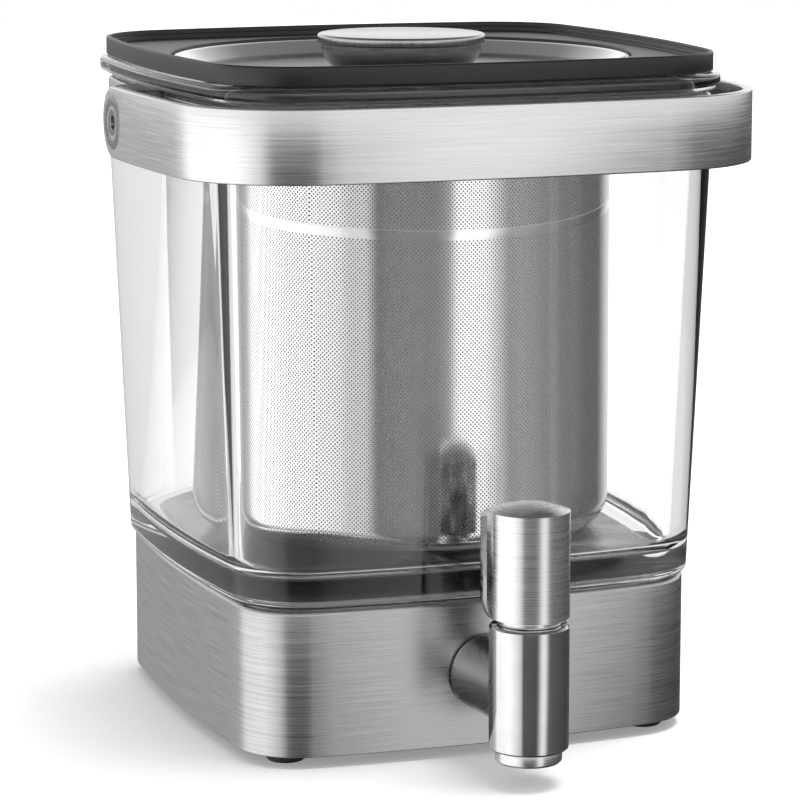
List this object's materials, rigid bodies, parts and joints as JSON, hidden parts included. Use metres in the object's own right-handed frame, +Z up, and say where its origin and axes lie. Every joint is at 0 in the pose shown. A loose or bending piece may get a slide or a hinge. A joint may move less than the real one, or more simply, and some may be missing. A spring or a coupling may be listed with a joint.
{
  "type": "cold brew coffee maker",
  "caption": "Square glass jar on a steel base with a self-closing lever tap, a swinging band handle, a black lid, and a perforated steeper with its own knobbed lid.",
  "frame": {"origin": "on the table, under the upright axis of the jar and the steeper", "axes": "+Z up, the tap at -Y, the handle's pivots along X"},
  "size_m": [0.1824, 0.2031, 0.2069],
  "materials": {
    "brushed_steel": "brushed stainless steel, grain along the piece",
    "collar_steel": "satin stainless strap",
    "polished_steel": "polished stainless steel",
    "steeper_steel": "bright rolled stainless sheet, perforated all over in fine holes",
    "dark_steel": "dark polished metal",
    "lug_metal": "dark grey satin cast metal",
    "plain_steel": "plain turned or drawn stainless steel",
    "black_plastic": "black moulded plastic with a satin surface",
    "frame_plastic": "black moulded nylon",
    "black_rubber": "black rubber",
    "clear_silicone": "milky translucent silicone",
    "jar_glass": "clear thick moulded glass"
  },
  "bodies": {
    "jar_and_base": {"base_shell": "brushed_steel", "base_frame": "frame_plastic", "bottom_cover": "frame_plastic", "bottom_screws": "plain_steel", "feet": "black_rubber", "jar_seat": "clear_silicone", "glass_jar": "jar_glass", "drain_fitting": "plain_steel", "drain_gaskets": "clear_silicone", "drain_nut": "plain_steel", "outlet_hose": "clear_silicone", "hose_clamps": "plain_steel", "tap_shank": "plain_steel", "tap_washer": "black_rubber", "shank_washer": "frame_plastic", "shank_nut": "plain_steel", "tap_body": "polished_steel", "nozzle_ring": "brushed_steel", "tap_bonnet": "brushed_steel", "stem_seal": "black_rubber", "collar_liner": "clear_silicone", "neck_collar": "collar_steel", "collar_screw": "plain_steel", "collar_nut": "plain_steel", "hinge_lugs": "lug_metal", "pivot_screws": "plain_steel"},
    "handle": {"handle_band": "brushed_steel", "pivot_discs": "polished_steel", "stop_pins": "plain_steel"},
    "lid": {"jar_lid": "black_plastic", "lid_seal": "clear_silicone"},
    "steeper": {"steeper_wall": "steeper_steel", "steeper_bottom": "steeper_steel", "steeper_rim": "steeper_steel"},
    "inner_lid": {"steeper_lid": "brushed_steel", "knob_cup": "brushed_steel", "knob_cap": "brushed_steel", "knob_screw": "plain_steel"},
    "stem": {"valve_stem": "plain_steel", "seat_cup": "clear_silicone", "valve_spring": "plain_steel"},
    "lever": {"tap_lever": "dark_steel", "lever_cover": "brushed_steel", "lever_pin": "plain_steel"}
  },
  "joints": [
    {"name": "handle_swing", "type": "hinge", "parent": "jar_and_base", "child": "handle", "pos_m": [0, 0, 0.1826], "axis": [-1, 0, 0], "range_deg": [0, 180]},
    {"name": "jar_lid_lift", "type": "slide", "parent": "jar_and_base", "child": "lid", "axis": [0, 0, 1], "range_m": [0, 0.145]},
    {"name": "steeper_lift", "type": "slide", "parent": "lid", "child": "steeper", "axis": [0, 0, 1], "range_m": [0, 0.15]},
    {"name": "steeper_lid_lift", "type": "slide", "parent": "steeper", "child": "inner_lid", "axis": [0, 0, 1], "range_m": [0, 0.04]},
    {"name": "stem_lift", "type": "slide", "parent": "jar_and_base", "child": "stem", "axis": [0, 0, 1], "range_m": [0, 0.0049], "stiffness_N_per_m": 200, "springref_m": -0.004, "deforming": ["valve_spring"]},
    {"name": "tap_lever_tilt", "type": "hinge", "parent": "stem", "child": "lever", "pos_m": [0, -0.1052, 0.0573], "axis": [1, 0, 0], "range_deg": [0, 30]}
  ],
  "couplings": [
    {"joint": "stem_lift", "follows": "tap_lever_tilt", "m_per_rad": 0.0093}
  ]
}
